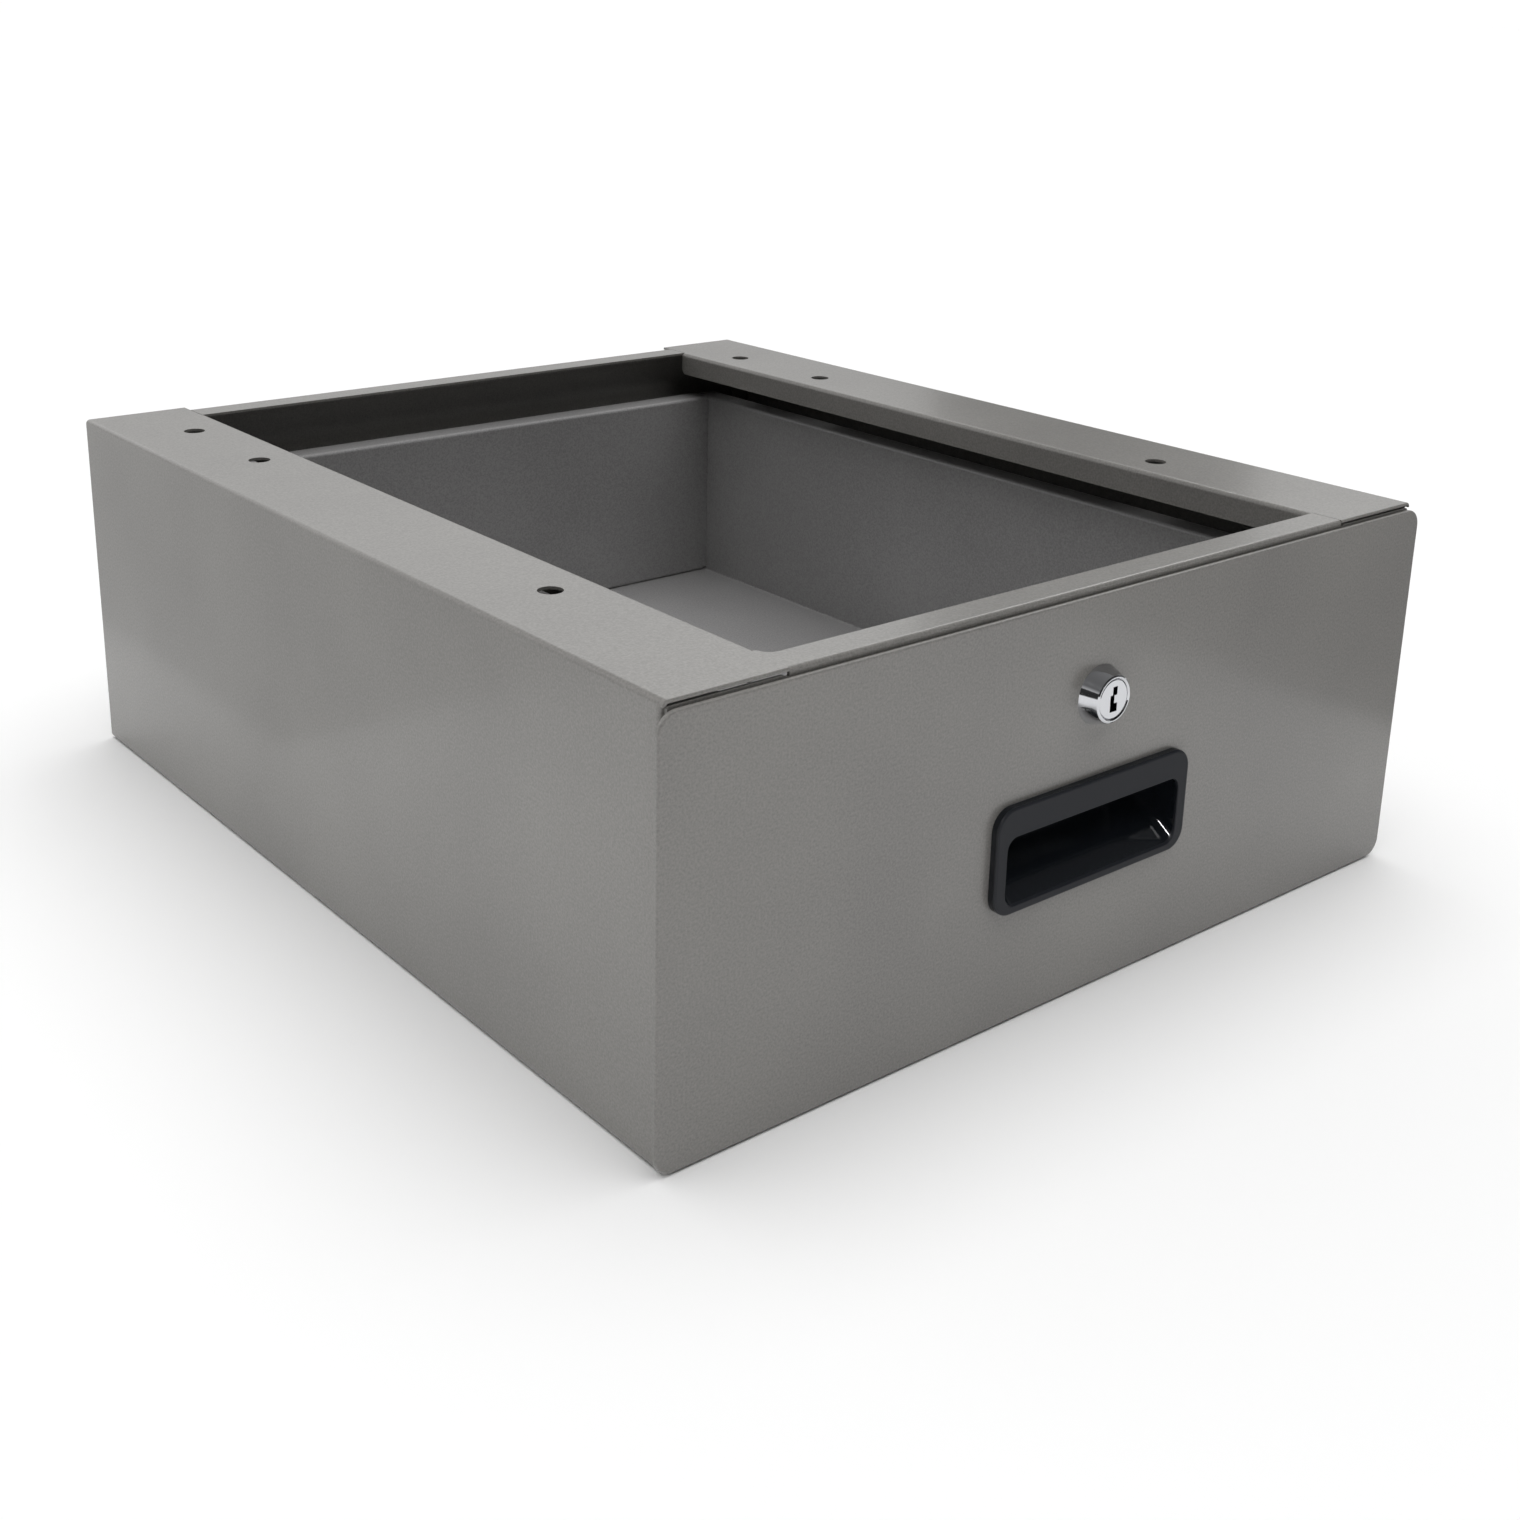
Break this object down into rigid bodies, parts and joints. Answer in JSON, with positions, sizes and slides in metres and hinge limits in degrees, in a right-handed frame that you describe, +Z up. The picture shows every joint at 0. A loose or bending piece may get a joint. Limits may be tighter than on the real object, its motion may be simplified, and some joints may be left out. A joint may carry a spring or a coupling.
{
  "type": "cash drawer",
  "caption": "Shallow lockable steel drawer on ball-bearing slides in an open-topped flanged case, with a recessed pull and a cam lock.",
  "frame": {"origin": "middle of the whole object's footprint, at its base", "axes": "+Z up, drawer opens towards -Y, +X to the right seen from the front"},
  "size_m": [0.4014, 0.4694, 0.1625],
  "materials": {
    "powder_coat_case": "satin",
    "powder_coat_drawer": "satin",
    "powder_coat_panel": "satin",
    "zinc_slide": "satin",
    "ball_steel": "polished",
    "zinc_hardware": "satin",
    "lock_chrome": "polished",
    "handle_plastic": "semi-gloss",
    "buffer_rubber": "matte"
  },
  "bodies": {
    "case": {"left_side": "powder_coat_case", "right_side": "powder_coat_case", "front_rail": "powder_coat_case", "bottom_rail": "powder_coat_case", "back_panel": "powder_coat_case", "left_spacer": "powder_coat_case", "right_spacer": "powder_coat_case", "lock_keeper": "powder_coat_case", "panel_buffers": "buffer_rubber", "left_slide_outer": "zinc_slide", "right_slide_outer": "zinc_slide", "left_slide_stop": "buffer_rubber", "right_slide_stop": "buffer_rubber", "slide_rivets": "zinc_hardware"},
    "drawer": {"drawer_tray": "powder_coat_drawer", "drawer_back": "powder_coat_drawer", "drawer_front": "powder_coat_drawer", "face_panel": "powder_coat_panel", "panel_nuts": "zinc_hardware", "handle": "handle_plastic", "lock_housing": "lock_chrome", "lock_washer": "zinc_hardware", "lock_nut": "zinc_hardware", "left_slide_inner": "zinc_slide", "right_slide_inner": "zinc_slide"},
    "left_middle": {"left_slide_middle": "zinc_slide"},
    "right_middle": {"right_slide_middle": "zinc_slide"},
    "left_outer_cage_body": {"left_outer_cage": "zinc_slide", "left_outer_balls": "ball_steel"},
    "right_outer_cage_body": {"right_outer_cage": "zinc_slide", "right_outer_balls": "ball_steel"},
    "left_inner_cage_body": {"left_inner_cage": "zinc_slide", "left_inner_balls": "ball_steel"},
    "right_inner_cage_body": {"right_inner_cage": "zinc_slide", "right_inner_balls": "ball_steel"},
    "lock_core": {"lock_plug": "lock_chrome", "lock_cam": "zinc_hardware", "cam_screw": "zinc_hardware"}
  },
  "joints": [
    {"name": "drawer_slide", "type": "slide", "parent": "case", "child": "drawer", "axis": [0, -1, 0], "range_m": [0, 0.38]},
    {"name": "left_middle_slide", "type": "slide", "parent": "case", "child": "left_middle", "axis": [0, -1, 0], "range_m": [0, 0.19]},
    {"name": "left_outer_cage_slide", "type": "slide", "parent": "case", "child": "left_outer_cage_body", "axis": [0, -1, 0], "range_m": [0, 0.095]},
    {"name": "left_inner_cage_slide", "type": "slide", "parent": "case", "child": "left_inner_cage_body", "axis": [0, -1, 0], "range_m": [0, 0.285]},
    {"name": "right_middle_slide", "type": "slide", "parent": "case", "child": "right_middle", "axis": [0, -1, 0], "range_m": [0, 0.19]},
    {"name": "right_outer_cage_slide", "type": "slide", "parent": "case", "child": "right_outer_cage_body", "axis": [0, -1, 0], "range_m": [0, 0.095]},
    {"name": "right_inner_cage_slide", "type": "slide", "parent": "case", "child": "right_inner_cage_body", "axis": [0, -1, 0], "range_m": [0, 0.285]},
    {"name": "lock_turn", "type": "hinge", "parent": "drawer", "child": "lock_core", "pos_m": [0, -0.2344, 0.1212], "axis": [0, -1, 0], "range_deg": [0, 90]}
  ],
  "couplings": [
    {"joint": "left_middle_slide", "follows": "drawer_slide", "ratio": 0.5},
    {"joint": "left_outer_cage_slide", "follows": "drawer_slide", "ratio": 0.25},
    {"joint": "left_inner_cage_slide", "follows": "drawer_slide", "ratio": 0.75},
    {"joint": "right_middle_slide", "follows": "drawer_slide", "ratio": 0.5},
    {"joint": "right_outer_cage_slide", "follows": "drawer_slide", "ratio": 0.25},
    {"joint": "right_inner_cage_slide", "follows": "drawer_slide", "ratio": 0.75}
  ]
}
